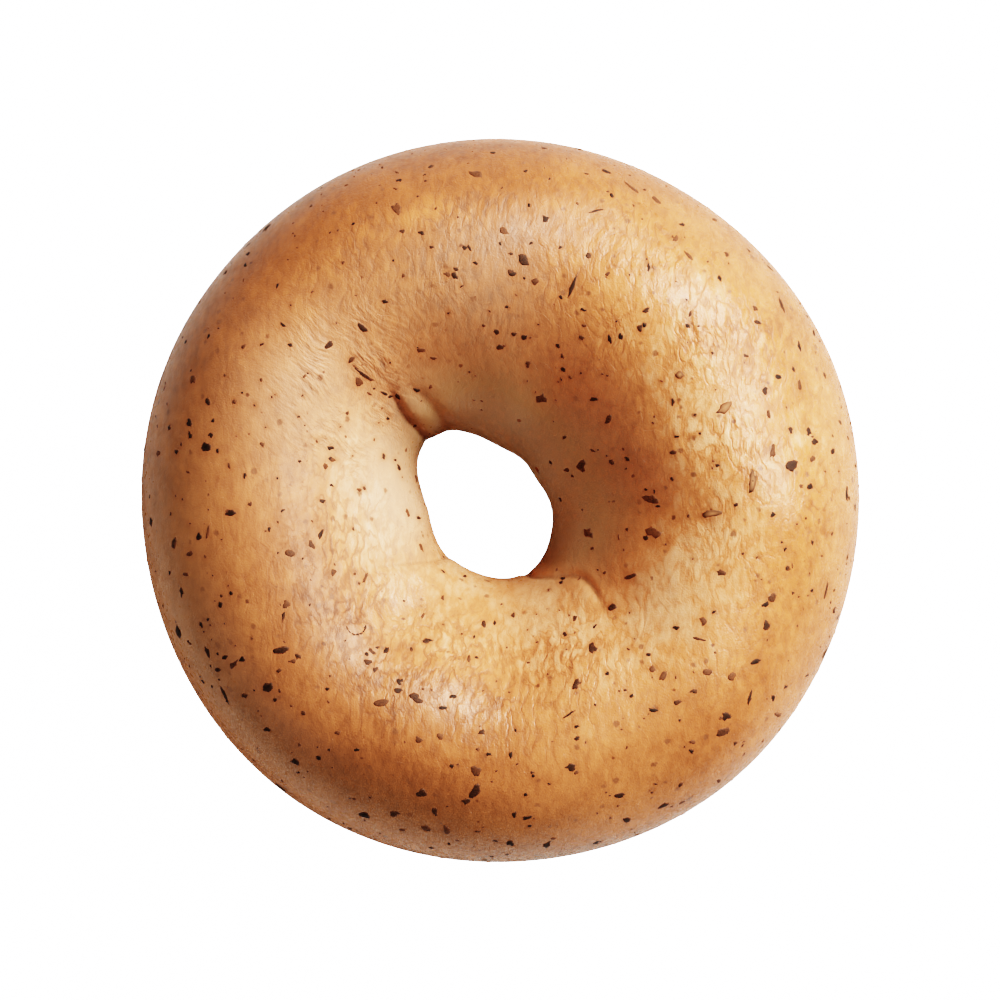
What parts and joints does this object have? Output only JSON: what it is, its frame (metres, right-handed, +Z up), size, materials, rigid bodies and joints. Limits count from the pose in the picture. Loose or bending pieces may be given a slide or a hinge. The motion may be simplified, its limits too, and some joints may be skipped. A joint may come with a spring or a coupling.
{
  "type": "herb bagel",
  "caption": "Round baked bread ring with a round hole through it, a glossy creased crust and fine herb flecks.",
  "frame": {"origin": "under the middle of the bagel, on the surface it rests on", "axes": "+Z up through the hole; +X to the right and +Y away from a viewer who looks down at the top"},
  "size_m": [0.1044, 0.1052, 0.039],
  "materials": {
    "crust": "satin baked crust, golden brown with dark herb flecks"
  },
  "bodies": {
    "root": {"bagel": "crust"}
  },
  "joints": []
}
